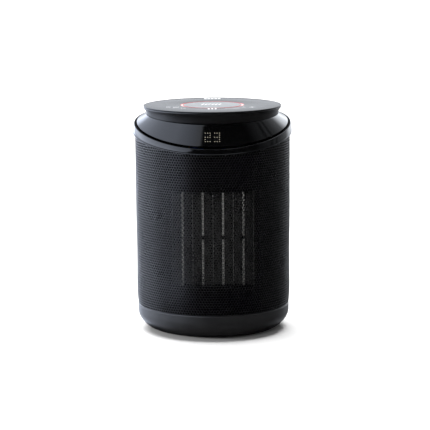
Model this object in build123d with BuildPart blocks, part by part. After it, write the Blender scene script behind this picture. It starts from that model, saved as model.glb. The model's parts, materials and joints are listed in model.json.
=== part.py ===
from build123d import *
import os
from math import cos, pi, radians, sin

os.makedirs("parts", exist_ok=True)

# ---------------------------------------------------------------------------
# Driving dimensions, in millimetres. The heater stands on the floor at z = 0,
# its axis is the Z axis and it blows towards -Y.
# ---------------------------------------------------------------------------
TOP_Z = 268.0             # touch surface
DISC_R = 81.5             # control disc at its upper edge
DISC_FLOOR_Z = 252.0      # underside of the control disc
SEAT_Z = 251.2            # flange of the collar, on which the disc stands
COLLAR_TOP_R = 77.9       # collar where it closes round the disc
COLLAR_MID_Z = 258.0      # its upper edge, level with the axis
COLLAR_SLOPE = 0.035      # the edge dips towards the front ...
COLLAR_SAG = 0.0004       # ... and is slightly arched
COLLAR_LOW_R = 89.5       # collar where it meets the rim
COLLAR_GAP = 0.4          # and lies this far under the rim's lip
COLLAR_WALL = 2.2         # measured straight down
RIM_R = 94.3              # widest part of the heater
RIM_MID_Z = 249.0         # upper lip of the rim, level with the axis
RIM_SLOPE = 0.1728        # the lip climbs towards the back ...
RIM_SAG = 0.000583        # ... and is slightly arched
BAND_MID_Z = 237.0        # lower edge of the rim, level with the axis
BAND_SLOPE = 0.1645
BAND_SAG = 0.000258
GRILLE_T = 0.8
SEAM_Z = 31.0             # joint between the base and the grille
BASE_R = 90.2
BASE_BOTTOM_Z = 1.5       # the feet lift the pan off the floor
WALL = 2.4
DECK_TOP_Z = SEAM_Z + WALL
CEILING_Z = 206.0         # underside of the upper frame's deck
REACH = 110.0             # longer than any radius

# Heating element: four strips, each between two columns of fins.
CORE_Z = 118.5            # height of the air path's centre
CORE_H = 113.0
CORE_FRONT_Y = -58.0
CORE_DEPTH = 15.0
STRIP_PITCH = 23.6
STRIP_W = 2.6
STRIP_COUNT = 4
PLATE_W = 1.0
STRIP_GAP = 2.2           # the two halves of a strip don't touch
STRIP_TAIL = 4.0          # each strip runs this far into the frame
FIN_W = (STRIP_PITCH - STRIP_W - PLATE_W) / 2
FOLD_RISE = 1.6           # height of half a fold of the fin strip
FOLD_W = 1.6              # its thickness, measured across the column
CORE_W = STRIP_COUNT * STRIP_PITCH + PLATE_W
FRAME_SIDE = 3.4          # wall of the plastic frame beside the core
FRAME_CAP = 8.0           # and above and below it
FRAME_FRONT_Y = CORE_FRONT_Y - 2.0
FRAME_BACK_Y = CORE_FRONT_Y + CORE_DEPTH + 2.0

# Fan, on an axis along Y.
FAN_TIP_R = 49.5
SHROUD_R = 51.5
SHROUD_T = 2.0
SHAFT_R = 1.6
SHAFT_PLAY = 0.05         # running clearance, radial
SHROUD_FRONT_Y = -14.0
BULKHEAD_Y = 8.0
MOTOR_FRONT_Y = 13.4
MOTOR_R = 18.0
MOTOR_L = 26.0

# Display: two digits of 3 by 5 dots on the front of the collar.
DISPLAY_SHARE = 0.56      # how far down the collar the display sits
DOT_R = 0.5
DOT_PITCH_X = 2.8
DOT_PITCH_Y = 2.55
DIGIT_X = 5.4

FOOT_R = 6.0
FOOT_AT = [(49.5, -34), (-49.5, -34), (49.5, 34), (-49.5, 34)]
BASE_SCREW_AT = [(26, -54), (-26, -54), (26, 54), (-26, 54)]
TIP_SWITCH_Y = -46.0
TIP_PLUNGER_R = 2.6
TIP_TRAVEL = 6.0
GLAND_Z = 17.0
POST_AT = [(46, -46), (-46, -46), (46, 46), (-46, 46)]
DISC_SCREW_AT = [(65, 0), (-65, 0), (0, 65), (0, -65)]
BOARD_Z = 214.0           # underside of the power board

UPWARD = (Align.CENTER, Align.CENTER, Align.MIN)
DOWNWARD = (Align.CENTER, Align.CENTER, Align.MAX)

# Looking along +Z of this plane is looking forward, out of the heater.
FAN_PLANE = Plane(origin=(0, 0, CORE_Z), x_dir=(1, 0, 0), z_dir=(0, -1, 0))


def write(piece, name):
    """Label a finished piece and write it as a node of its own."""
    piece.part.label = name
    export_step(piece.part, f"parts/{name}.step")


def rim_top(y):
    """Height of the rim's upper lip."""
    return RIM_MID_Z + RIM_SLOPE * y - RIM_SAG * y ** 2


def rim_low(y):
    """Height of the rim's lower edge."""
    return BAND_MID_Z + BAND_SLOPE * y - BAND_SAG * y ** 2


def collar_top(y):
    """Height of the collar's upper edge."""
    return COLLAR_MID_Z + COLLAR_SLOPE * y - COLLAR_SAG * y ** 2


def collar_low(y):
    """Height of the collar's lower edge, just under the rim's lip."""
    return rim_top(y) - COLLAR_GAP


# The display lies in the collar's front, and looks out square to it.
COLLAR_FALL = collar_top(-COLLAR_TOP_R) - collar_low(-COLLAR_LOW_R)
COLLAR_REACH = COLLAR_LOW_R - COLLAR_TOP_R
DISPLAY_Y = -(COLLAR_TOP_R + DISPLAY_SHARE * COLLAR_REACH)
DISPLAY_Z = collar_top(-COLLAR_TOP_R) - DISPLAY_SHARE * COLLAR_FALL
DISPLAY_PLANE = Plane(
    origin=(0, DISPLAY_Y, DISPLAY_Z),
    x_dir=(1, 0, 0),
    z_dir=(0, -COLLAR_FALL, COLLAR_REACH),
)


def below(curve, drop=0.0):
    """Everything under a curve that is drawn in the side view."""
    with BuildPart() as block:
        with BuildSketch(Plane.YZ):
            with BuildLine():
                arc = ThreePointArc(
                    (-REACH, curve(-REACH) - drop),
                    (0, curve(0) - drop),
                    (REACH, curve(REACH) - drop),
                )
                Polyline(arc @ 1, (REACH, 0), (-REACH, 0), arc @ 0)
            make_face()
        extrude(amount=REACH, both=True)
    return block.part


def revolved(*outline):
    """A closed outline of (radius, height) points turned about the Z axis."""
    with BuildPart() as turned:
        with BuildSketch(Plane.XZ):
            with BuildLine():
                Polyline(*outline, close=True)
            make_face()
        revolve(axis=Axis.Z)
    return turned.part


def grille_wall(inset, outset):
    """The grille's wall: nearly straight, tucked in at the foot, wider at the top."""
    spine = [(89.8, SEAM_Z + 0.2), (91.0, 44), (91.0, 72), (91.4, 130), (91.6, 180), (91.7, 262)]
    with BuildPart() as wall:
        with BuildSketch(Plane.XZ):
            with BuildLine():
                inner = Spline(*[(r - inset, z) for r, z in spine])
                outer = Spline(*[(r + outset, z) for r, z in spine])
                Line(inner @ 0, outer @ 0)
                Line(inner @ 1, outer @ 1)
            make_face()
        revolve(axis=Axis.Z)
    return wall.part


def screws(plane, points, shank_r, length, head_r, head_h):
    """Cross-head screws whose heads seat on the plane, shanks along its normal."""
    with BuildPart(plane) as group:
        with Locations(*points):
            Cylinder(head_r, head_h, align=DOWNWARD)
            Cylinder(shank_r, length, align=UPWARD)
        with Locations(*[(x, y, -head_h) for x, y in points]):
            Box(head_r * 1.1, 0.6, 0.9, align=UPWARD, mode=Mode.SUBTRACT)
            Box(0.6, head_r * 1.1, 0.9, align=UPWARD, mode=Mode.SUBTRACT)
    return group


def coil(radius, wire_r, height, turns):
    """A coil spring standing on the XY plane, its wire inside the given height."""
    with BuildPart() as spring:
        with BuildLine(Plane.XY.offset(wire_r)) as helix:
            Helix(pitch=(height - 2 * wire_r) / turns, height=height - 2 * wire_r, radius=radius)
        with BuildSketch(Plane(origin=helix.line @ 0, z_dir=helix.line % 0)):
            Circle(wire_r)
        sweep(path=helix.line, is_frenet=True)
    return spring.part


def polar(radius, *angles):
    """Points on a circle, at angles in degrees."""
    return [(radius * cos(radians(a)), radius * sin(radians(a))) for a in angles]


# ---------------------------------------------------------------------------
# Base
# ---------------------------------------------------------------------------
with BuildPart() as base_pan:
    with BuildSketch(Plane.XZ):
        with BuildLine():
            flank = Spline(
                (66, BASE_BOTTOM_Z), (83, 8.9), (89.2, 18.2), (BASE_R, SEAM_Z - 1),
                tangents=[(1, 0.08), (0.03, 1)],
            )
            Polyline(flank @ 1, (BASE_R - 0.5, SEAM_Z), (BASE_R - 2.6, SEAM_Z))
            hollow = Spline(
                (BASE_R - 2.6, SEAM_Z), (86.7, 19.8), (81.2, 10.9), (64.5, BASE_BOTTOM_Z + WALL),
                tangents=[(-0.03, -1), (-1, -0.08)],
            )
            Polyline(hollow @ 1, (0, BASE_BOTTOM_Z + WALL), (0, BASE_BOTTOM_Z), flank @ 0)
        make_face()
    revolve(axis=Axis.Z)
    # Screw pillars, with the heads sunk from below.
    with Locations(*[(x, y, BASE_BOTTOM_Z) for x, y in BASE_SCREW_AT]):
        Cylinder(5, SEAM_Z - BASE_BOTTOM_Z, align=UPWARD)
        Cylinder(3.4, 6, align=UPWARD, mode=Mode.SUBTRACT)
        Cylinder(1.8, SEAM_Z, align=UPWARD, mode=Mode.SUBTRACT)
    # Pockets for the feet, the hole for the switch plunger and the hole for the mains lead.
    with Locations(*[(x, y, BASE_BOTTOM_Z) for x, y in FOOT_AT]):
        Cylinder(FOOT_R + 0.05, 1, align=UPWARD, mode=Mode.SUBTRACT)
    with Locations((0, TIP_SWITCH_Y, 0)):
        Cylinder(TIP_PLUNGER_R + 0.08, 8, align=UPWARD, mode=Mode.SUBTRACT)
    with Locations(Location((0, 60, GLAND_Z), (-90, 0, 0))):
        Cylinder(7.05, 40, align=UPWARD, mode=Mode.SUBTRACT)
write(base_pan, "base_pan")

with BuildPart() as rubber_feet:
    with Locations(*[(x, y, 0) for x, y in FOOT_AT]):
        Cylinder(FOOT_R, BASE_BOTTOM_Z + 1, align=UPWARD)
    chamfer(rubber_feet.edges().group_by(Axis.Z)[0], 0.5)
write(rubber_feet, "rubber_feet")

base_screws = screws(Plane.XY.offset(BASE_BOTTOM_Z + 6), BASE_SCREW_AT, 1.5, 31, 3.1, 2.2)
write(base_screws, "base_screws")

with BuildPart() as base_deck:
    add(revolved((0, SEAM_Z), (88.6, SEAM_Z), (88.6, 38), (86.4, 38), (86.4, DECK_TOP_Z), (0, DECK_TOP_Z)))
    with Locations(*[(x, y, SEAM_Z) for x, y in BASE_SCREW_AT]):
        Cylinder(4, 12, align=UPWARD)
        Cylinder(1.55, 12, align=UPWARD, mode=Mode.SUBTRACT)
    with Locations((0, 62, SEAM_Z)):
        Cylinder(6, 8, align=UPWARD, mode=Mode.SUBTRACT)
write(base_deck, "base_deck")

with BuildPart(Plane(origin=(0, 70.7, GLAND_Z), x_dir=(1, 0, 0), z_dir=(0, 1, 0))) as cord_gland:
    Cylinder(9.5, 2, align=UPWARD)
    Cylinder(7, 21.5, align=UPWARD)
    with Locations((0, 0, 19.5)):
        Cylinder(8, 2, align=UPWARD)
    Cylinder(3.8, 30, mode=Mode.SUBTRACT)
    chamfer(cord_gland.edges().group_by(Axis.Y)[-1], 0.6)
write(cord_gland, "cord_gland")

# Tip-over switch: a sprung plunger that the floor holds up.
SWITCH_FLOOR_Z = BASE_BOTTOM_Z + WALL
SWITCH_Z = 18.0
PLUNGER_COLLAR_Z = SWITCH_FLOOR_Z + TIP_TRAVEL + 0.3
with BuildPart() as tip_switch_body:
    with Locations((0, TIP_SWITCH_Y, SWITCH_Z)):
        Box(20, 12, 12, align=UPWARD)
        Cylinder(TIP_PLUNGER_R + 0.2, 4, align=UPWARD, mode=Mode.SUBTRACT)
    with Locations((8.5, TIP_SWITCH_Y, SWITCH_FLOOR_Z), (-8.5, TIP_SWITCH_Y, SWITCH_FLOOR_Z)):
        Box(3, 12, SWITCH_Z - SWITCH_FLOOR_Z, align=UPWARD)
write(tip_switch_body, "tip_switch_body")

with BuildPart() as tip_switch_plunger:
    with Locations((0, TIP_SWITCH_Y, 0)):
        Cylinder(TIP_PLUNGER_R, 20, align=UPWARD)
    with Locations((0, TIP_SWITCH_Y, PLUNGER_COLLAR_Z)):
        Cylinder(4.4, 1.2, align=UPWARD)
    chamfer(tip_switch_plunger.edges().group_by(Axis.Z)[0], 0.6)
write(tip_switch_plunger, "tip_switch_plunger")

with BuildPart() as tip_switch_spring:
    spring_z = PLUNGER_COLLAR_Z + 1.2
    with Locations((0, TIP_SWITCH_Y, spring_z)):
        add(coil(3.4, 0.3, SWITCH_Z - spring_z, 5))
write(tip_switch_spring, "tip_switch_spring")

# ---------------------------------------------------------------------------
# Grille
# ---------------------------------------------------------------------------
under_grille_top = below(rim_low, -3.0)
with BuildPart() as mesh_grille:
    add(grille_wall(GRILLE_T, 0))
    add(under_grille_top, mode=Mode.INTERSECT)
write(mesh_grille, "mesh_grille")

under_rim_low = below(rim_low, 0.4)
with BuildPart() as grille_seam_strip:
    add(grille_wall(0, 1.1))
    with Locations((0, BASE_R, SEAM_Z)):
        Box(11, 20, 230, align=UPWARD, mode=Mode.INTERSECT)
    add(under_rim_low, mode=Mode.INTERSECT)
write(grille_seam_strip, "grille_seam_strip")

# ---------------------------------------------------------------------------
# Heating element and its frame
# ---------------------------------------------------------------------------
strip_xs = [STRIP_PITCH * (n - (STRIP_COUNT - 1) / 2) for n in range(STRIP_COUNT)]
plate_xs = [STRIP_PITCH * (n - STRIP_COUNT / 2) for n in range(STRIP_COUNT + 1)]
core_mid_y = CORE_FRONT_Y + CORE_DEPTH / 2
frame_mid_y = (FRAME_FRONT_Y + FRAME_BACK_Y) / 2
frame_depth = FRAME_BACK_Y - FRAME_FRONT_Y
frame_w = CORE_W + 2 * FRAME_SIDE
frame_h = CORE_H + 2 * FRAME_CAP

with BuildPart() as ptc_strips:
    half_h = CORE_H / 2 + STRIP_TAIL - STRIP_GAP / 2
    for x in strip_xs:
        for side in (-1, 1):
            with Locations((x, core_mid_y, CORE_Z + side * (STRIP_GAP + half_h) / 2)):
                Box(STRIP_W, CORE_DEPTH, half_h)
write(ptc_strips, "ptc_strips")

with BuildPart() as fin_plates:
    with Locations(*[(x, core_mid_y, CORE_Z) for x in plate_xs]):
        Box(PLATE_W, CORE_DEPTH, CORE_H)
write(fin_plates, "fin_plates")


def fold_line(x):
    """The zigzag of one column of fins, in the front view."""
    low = CORE_Z - CORE_H / 2 + 0.5
    count = int((CORE_H - 1) / FOLD_RISE) + 1
    half = (FIN_W - FOLD_W) / 2
    return [(x + half * (-1) ** n, low + n * FOLD_RISE) for n in range(count)]


fin_xs = [x + side * (STRIP_W + FIN_W) / 2 for x in strip_xs for side in (-1, 1)]
with BuildPart() as heater_fins:
    with BuildSketch(Plane.XZ.offset(-CORE_FRONT_Y - 0.5)):
        for x in fin_xs:
            Polygon(*fold_line(x - FOLD_W / 2), *reversed(fold_line(x + FOLD_W / 2)), align=None)
    extrude(amount=-(CORE_DEPTH - 1))
write(heater_fins, "heater_fins")

with BuildPart() as heater_frame:
    with Locations((0, frame_mid_y, CORE_Z)):
        Box(frame_w, frame_depth, frame_h)
        Box(CORE_W + 0.2, frame_depth, CORE_H, mode=Mode.SUBTRACT)
    # The sides run on to the deck below and the ceiling above.
    side_x = (frame_w - FRAME_SIDE) / 2
    with Locations((side_x, frame_mid_y, DECK_TOP_Z), (-side_x, frame_mid_y, DECK_TOP_Z)):
        Box(FRAME_SIDE, frame_depth, CEILING_Z - DECK_TOP_Z, align=UPWARD)
    with Locations(*[(x, core_mid_y, CORE_Z) for x in strip_xs]):
        Box(STRIP_W + 0.1, CORE_DEPTH + 0.1, CORE_H + 2 * STRIP_TAIL, mode=Mode.SUBTRACT)
write(heater_frame, "heater_frame")

cap_top_z = CORE_Z + frame_h / 2
with BuildPart() as electrode_tabs:
    with Locations(*[(x, core_mid_y, cap_top_z) for x in strip_xs]):
        Box(0.8, 6.3, 10, align=UPWARD)
        Box(3, 8, 0.8, align=UPWARD)
    with Locations(*[(x, core_mid_y, cap_top_z + 7) for x in strip_xs]):
        Box(0.8, 1.6, 1.6, mode=Mode.SUBTRACT)
write(electrode_tabs, "electrode_tabs")

with BuildPart() as thermal_cutout:
    with Locations((0, core_mid_y, cap_top_z)):
        Cylinder(6.5, 5, align=UPWARD)
        Cylinder(7.6, 1, align=UPWARD)
    with Locations((0, core_mid_y - 4, cap_top_z + 5), (0, core_mid_y + 4, cap_top_z + 5)):
        Box(5, 0.8, 7, align=UPWARD)
write(thermal_cutout, "thermal_cutout")

with BuildPart(Plane(origin=(24, core_mid_y - 5, cap_top_z + 2), z_dir=(1, 0, 0))) as thermal_fuse:
    Cylinder(2, 11)
    Cylinder(0.5, 18)
write(thermal_fuse, "thermal_fuse")

# The black shield behind the grille, with a window for the element.
BAFFLE_R = 84.0
with BuildPart() as front_baffle:
    with Locations((0, 0, DECK_TOP_Z)):
        Cylinder(BAFFLE_R, CEILING_Z - DECK_TOP_Z, align=UPWARD)
        Cylinder(BAFFLE_R - 2, CEILING_Z - DECK_TOP_Z, align=UPWARD, mode=Mode.SUBTRACT)
    with Locations((0, BULKHEAD_Y, CORE_Z)):
        Box(200, 100, 200, align=(Align.CENTER, Align.MIN, Align.CENTER), mode=Mode.SUBTRACT)
    with BuildSketch(Plane.XZ.offset(-FRAME_FRONT_Y)):
        with Locations((0, CORE_Z)):
            RectangleRounded(CORE_W + 5, CORE_H + 5, 4)
    extrude(until=Until.NEXT)
    with BuildSketch(Plane.XZ.offset(-FRAME_FRONT_Y)):
        with Locations((0, CORE_Z)):
            RectangleRounded(CORE_W + 0.6, CORE_H + 1, 2)
    extrude(amount=40, mode=Mode.SUBTRACT)
write(front_baffle, "front_baffle")

# Duct from the round fan shroud to the square heater frame.
with BuildPart() as heater_duct:
    for inset in (0, SHROUD_T):
        with BuildSketch(Plane.XZ.offset(-FRAME_BACK_Y)):
            with Locations((0, CORE_Z)):
                RectangleRounded(frame_w - 2 * inset, frame_h - 2 * inset, 6 - inset)
        with BuildSketch(Plane.XZ.offset(-SHROUD_FRONT_Y)):
            with Locations((0, CORE_Z)):
                Circle(SHROUD_R + SHROUD_T - inset)
        loft(mode=Mode.SUBTRACT if inset else Mode.ADD)
write(heater_duct, "heater_duct")

# ---------------------------------------------------------------------------
# Fan. Depths along this plane are counted forwards, so y is minus the depth.
# ---------------------------------------------------------------------------
with BuildPart(FAN_PLANE) as fan_bulkhead:
    with Locations((0, (CEILING_Z + DECK_TOP_Z) / 2 - CORE_Z, -BULKHEAD_Y)):
        Box(163, CEILING_Z - DECK_TOP_Z, WALL, align=DOWNWARD)
    with Locations((0, 0, -BULKHEAD_Y - WALL)):
        Cylinder(SHROUD_R + SHROUD_T, BULKHEAD_Y + WALL - SHROUD_FRONT_Y, align=UPWARD)
        Cylinder(SHROUD_R, BULKHEAD_Y + WALL - SHROUD_FRONT_Y, align=UPWARD, mode=Mode.SUBTRACT)
write(fan_bulkhead, "fan_bulkhead")

ARM_COUNT = 3
ARM_R = 60.0              # where each arm is screwed to the bulkhead
arm_angles = [90 + 360 * n / ARM_COUNT for n in range(ARM_COUNT)]
bracket_t = MOTOR_FRONT_Y - BULKHEAD_Y - WALL
with BuildPart(FAN_PLANE.offset(-MOTOR_FRONT_Y)) as motor_bracket:
    Cylinder(MOTOR_R + 2, bracket_t, align=UPWARD)
    arms_at = zip(arm_angles, polar(ARM_R / 2, *arm_angles))
    with Locations(*[Location((*at, 0), (0, 0, a)) for a, at in arms_at]):
        Box(ARM_R, 8, bracket_t, align=UPWARD)
    with Locations(*polar(ARM_R, *arm_angles)):
        Cylinder(5, bracket_t, align=UPWARD)
        Cylinder(1.6, bracket_t, align=UPWARD, mode=Mode.SUBTRACT)
    Cylinder(5, bracket_t, align=UPWARD, mode=Mode.SUBTRACT)
write(motor_bracket, "motor_bracket")

bracket_screws = screws(FAN_PLANE.offset(-MOTOR_FRONT_Y), polar(ARM_R, *arm_angles), 1.5, bracket_t, 2.9, 2)
write(bracket_screws, "bracket_screws")

BUSH_R = 4.0
BUSH_L = 4.0
motor_back_y = MOTOR_FRONT_Y + MOTOR_L
with BuildPart(FAN_PLANE.offset(-motor_back_y)) as motor_can:
    Cylinder(MOTOR_R, MOTOR_L, align=UPWARD)
    with Locations((0, 0, 1.2)):
        Cylinder(MOTOR_R - 1, MOTOR_L - 2.4, align=UPWARD, mode=Mode.SUBTRACT)
    Cylinder(BUSH_R, MOTOR_L, align=UPWARD, mode=Mode.SUBTRACT)
    can_rims = motor_can.edges().filter_by(GeomType.CIRCLE)
    fillet(can_rims.filter_by(lambda e: abs(e.radius - MOTOR_R) < 0.01), 0.9)
write(motor_can, "motor_can")

with BuildPart(FAN_PLANE.offset(-motor_back_y)) as motor_bushes:
    for depth in (0, MOTOR_L - BUSH_L):
        with Locations((0, 0, depth)):
            Cylinder(BUSH_R, BUSH_L, align=UPWARD)
            Cylinder(SHAFT_R + SHAFT_PLAY, BUSH_L, align=UPWARD, mode=Mode.SUBTRACT)
write(motor_bushes, "motor_bushes")

with BuildPart(FAN_PLANE.offset(-motor_back_y)) as motor_stator:
    with Locations((0, 0, 1.2)):
        Cylinder(MOTOR_R - 1, MOTOR_L - 2.4, align=UPWARD)
        Cylinder(11.6, MOTOR_L, align=UPWARD, mode=Mode.SUBTRACT)
    with PolarLocations(14.4, 4, start_angle=45):
        Cylinder(1.2, MOTOR_L, align=UPWARD, mode=Mode.SUBTRACT)
write(motor_stator, "motor_stator")

with BuildPart(FAN_PLANE.offset(-motor_back_y)) as motor_rotor:
    with Locations((0, 0, BUSH_L + 1)):
        Cylinder(11, MOTOR_L - 2 * BUSH_L - 2, align=UPWARD)
    Cylinder(SHAFT_R, MOTOR_L, align=UPWARD, mode=Mode.SUBTRACT)
write(motor_rotor, "motor_rotor")

SHAFT_BACK_Y = motor_back_y + 2
SHAFT_FRONT_Y = -14.0
with BuildPart(FAN_PLANE.offset(-SHAFT_BACK_Y)) as motor_shaft:
    Cylinder(SHAFT_R, SHAFT_BACK_Y - SHAFT_FRONT_Y, align=UPWARD)
    chamfer(motor_shaft.edges().filter_by(GeomType.CIRCLE), 0.3)
write(motor_shaft, "motor_shaft")

HUB_R = 14.0
HUB_L = 15.0
HUB_BACK_Y = 6.0
BLADE_COUNT = 7
with BuildPart() as blade:
    # Steeper at the root than at the tip.
    for radius, chord, pitch in ((HUB_R - 1.5, 14, 52), (30, 19, 38), (FAN_TIP_R, 24, 27)):
        with BuildSketch(Plane(origin=(radius, 0, 0), x_dir=(0, 1, 0), z_dir=(1, 0, 0))):
            with Locations((0, HUB_L / 2)):
                Ellipse(chord / 2, 0.9, rotation=pitch)
    loft()
with BuildPart(FAN_PLANE.offset(-HUB_BACK_Y)) as impeller:
    with PolarLocations(0, BLADE_COUNT):
        add(blade.part)
    Cylinder(HUB_R, HUB_L, align=UPWARD)
    Cylinder(HUB_R - 2, HUB_L - 2.5, align=UPWARD, mode=Mode.SUBTRACT)
    Cylinder(4, HUB_L, align=UPWARD)
    Cylinder(SHAFT_R, HUB_L, align=UPWARD, mode=Mode.SUBTRACT)
write(impeller, "impeller")

nut_plane = FAN_PLANE.offset(HUB_L - HUB_BACK_Y)
with BuildPart() as impeller_nut:
    with BuildSketch(nut_plane):
        RegularPolygon(3.4, 6)
        Circle(SHAFT_R, mode=Mode.SUBTRACT)
    extrude(amount=3)
write(impeller_nut, "impeller_nut")

# ---------------------------------------------------------------------------
# Upper frame, rim and collar
# ---------------------------------------------------------------------------
LIP_T = 2.6

def band(inner_r, outer_r, top, bottom):
    """A ring between two radii, bounded above and below by blocks from below()."""
    with BuildPart() as ring:
        with Locations((0, 0, CEILING_Z)):
            Cylinder(outer_r, 70, align=UPWARD)
            Cylinder(inner_r, 70, align=UPWARD, mode=Mode.SUBTRACT)
        add(top, mode=Mode.INTERSECT)
        add(bottom, mode=Mode.SUBTRACT)
    return ring.part


under_rim_top = below(rim_top)
under_rim_lip = below(rim_top, LIP_T)
under_rim_ledge = below(rim_top, LIP_T + 2.4)
under_rim_web = below(rim_top, LIP_T + 4.8)
under_band = below(rim_low)
ledge = band(89.6, 91.7, under_rim_lip, under_rim_ledge)
web = band(86.6, 90.3, under_rim_ledge, under_rim_web)
with BuildPart() as top_frame:
    with Locations((0, 0, CEILING_Z)):
        Cylinder(89.2, 70, align=UPWARD)
        Cylinder(86.6, 70, align=UPWARD, mode=Mode.SUBTRACT)
    add(under_rim_ledge, mode=Mode.INTERSECT)
    add(web)
    add(ledge)
    with Locations((0, 0, CEILING_Z)):
        Cylinder(87, WALL, align=UPWARD)
    with Locations(*[(x, y, CEILING_Z) for x, y in POST_AT]):
        Cylinder(4.5, SEAT_Z - COLLAR_WALL - CEILING_Z, align=UPWARD)
        Cylinder(1.55, SEAT_Z, align=UPWARD, mode=Mode.SUBTRACT)
    # Way through for the leads of the element and the motor.
    with Locations((0, core_mid_y, CEILING_Z), (0, 62, CEILING_Z)):
        Box(70, 8, WALL, align=UPWARD, mode=Mode.SUBTRACT)
write(top_frame, "top_frame")

rim_skirt = band(92, RIM_R, under_rim_top, under_band)
rim_lip = band(90.4, RIM_R, under_rim_top, under_rim_lip)
with BuildPart() as rim_ring:
    add(rim_skirt)
    add(rim_lip)
write(rim_ring, "rim_ring")

COLLAR_POINTS = 48


def hoop(radius, height):
    """A closed curve of one radius whose height depends on y."""
    angles = [2 * pi * n / COLLAR_POINTS for n in range(COLLAR_POINTS)]
    return Edge.make_spline(
        [Vector(radius * cos(a), radius * sin(a), height(radius * sin(a))) for a in angles],
        periodic=True,
    )


collar_skin = Face.make_surface_from_curves(hoop(COLLAR_TOP_R, collar_top), hoop(COLLAR_LOW_R, collar_low))
FLANGE_R = 58.0
BORE_T = 1.5              # wall round the disc, from the flange up to the skin
with BuildPart() as collar_bore:
    extrude(collar_skin, amount=12, dir=(0, 0, -1))
    with Locations((0, 0, SEAT_Z - COLLAR_WALL)):
        Cylinder(COLLAR_TOP_R + BORE_T, 20, align=UPWARD, mode=Mode.INTERSECT)

with BuildPart() as collar_blank:
    extrude(collar_skin, amount=COLLAR_WALL, dir=(0, 0, -1))
    add(collar_bore)
    with Locations((0, 0, SEAT_Z)):
        Cylinder(COLLAR_TOP_R + BORE_T / 3, COLLAR_WALL, align=DOWNWARD)
        Cylinder(FLANGE_R, COLLAR_WALL, align=DOWNWARD, mode=Mode.SUBTRACT)

dot_at = [
    (digit * DIGIT_X + column * DOT_PITCH_X, row * DOT_PITCH_Y)
    for digit in (-1, 1) for column in (-1, 0, 1) for row in (-2, -1, 0, 1, 2)
]
with BuildPart() as display_dots:
    with Locations(DISPLAY_PLANE):
        with Locations(*dot_at):
            Cylinder(DOT_R, 10)
    add(collar_blank.part, mode=Mode.INTERSECT)
write(display_dots, "display_dots")

with BuildPart() as collar:
    add(collar_blank.part)
    with Locations(DISPLAY_PLANE):
        with Locations(*dot_at):
            Cylinder(DOT_R, 10, mode=Mode.SUBTRACT)
    with Locations(*[(x, y, SEAT_Z) for x, y in POST_AT]):
        Cylinder(3.2, 1.2, align=DOWNWARD, mode=Mode.SUBTRACT)
        Cylinder(1.7, COLLAR_WALL, align=DOWNWARD, mode=Mode.SUBTRACT)
    with Locations(*[(x, y, SEAT_Z) for x, y in DISC_SCREW_AT]):
        Cylinder(1.7, COLLAR_WALL, align=DOWNWARD, mode=Mode.SUBTRACT)
write(collar, "collar")

collar_screw_plane = Plane(origin=(0, 0, SEAT_Z - 1.2), x_dir=(1, 0, 0), z_dir=(0, 0, -1))
collar_screws = screws(collar_screw_plane, POST_AT, 1.5, 14, 3.1, 1.15)
write(collar_screws, "collar_screws")

# Display module behind the collar: light mask, lamps, board and bracket.
with BuildPart(DISPLAY_PLANE) as display_mask:
    with Locations((0, 0, -6.4)):
        Box(27, 17, 3, align=UPWARD)
    with Locations(*[(x, y, -6.4) for x, y in dot_at]):
        Cylinder(1.1, 3, align=UPWARD, mode=Mode.SUBTRACT)
write(display_mask, "display_mask")

with BuildPart(DISPLAY_PLANE) as display_lamps:
    with Locations(*[(x, y, -6.4) for x, y in dot_at]):
        Box(1.4, 1, 0.6, align=UPWARD)
write(display_lamps, "display_lamps")

with BuildPart(DISPLAY_PLANE) as display_board:
    with Locations((0, 0, -6.4)):
        Box(34, 20, 1.4, align=DOWNWARD)
write(display_board, "display_board")

with BuildPart() as display_bracket:
    with Locations(DISPLAY_PLANE):
        with Locations((0, 0, -7.8)):
            Box(24, 18, 2, align=DOWNWARD)
    with Locations((0, -77.3, CEILING_Z + WALL)):
        Box(20, 2, 24.5, align=UPWARD)
    with Locations((0, -74.4, CEILING_Z + WALL)):
        Box(20, 8, 2, align=UPWARD)
write(display_bracket, "display_bracket")

# ---------------------------------------------------------------------------
# Electronics in the head
# ---------------------------------------------------------------------------
BOARD_T = 1.6
BOARD_CORNERS = [(34, -22), (-34, -22), (34, 42), (-34, 42)]
with BuildPart() as board_pillars:
    with Locations(*[(x, y, CEILING_Z + WALL) for x, y in BOARD_CORNERS]):
        Cylinder(3.5, BOARD_Z - CEILING_Z - WALL, align=UPWARD)
        Cylinder(1.25, BOARD_Z, align=UPWARD, mode=Mode.SUBTRACT)
write(board_pillars, "board_pillars")

with BuildPart() as power_board:
    with Locations((0, 10, BOARD_Z)):
        Box(78, 76, BOARD_T, align=UPWARD)
    with Locations(*[(x, y, BOARD_Z) for x, y in BOARD_CORNERS]):
        Cylinder(1.6, BOARD_T, align=UPWARD, mode=Mode.SUBTRACT)
write(power_board, "power_board")

board_top_z = BOARD_Z + BOARD_T
board_screw_plane = Plane(origin=(0, 0, board_top_z), x_dir=(1, 0, 0), z_dir=(0, 0, -1))
board_screws = screws(board_screw_plane, [(x, -y) for x, y in BOARD_CORNERS], 1.2, 7, 2.4, 1.8)
write(board_screws, "board_screws")

with BuildPart() as power_relays:
    with Locations((-17, -8, board_top_z), (6, -8, board_top_z)):
        Box(19, 15.5, 15, align=UPWARD)
    chamfer(power_relays.edges().group_by(Axis.Z)[-1], 0.6)
write(power_relays, "power_relays")

with BuildPart() as filter_capacitor:
    with Locations((-20, 14, board_top_z)):
        Box(18, 8, 14, align=UPWARD)
    fillet(filter_capacitor.edges().filter_by(Axis.Z), 1)
write(filter_capacitor, "filter_capacitor")

with BuildPart() as supply_transformer:
    with Locations((12, 22, board_top_z)):
        Box(22, 20, 4, align=UPWARD)
        Box(16, 20, 17, align=UPWARD)
        with Locations((0, 0, 4)):
            Box(22, 14, 9, align=UPWARD)
write(supply_transformer, "supply_transformer")

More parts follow.
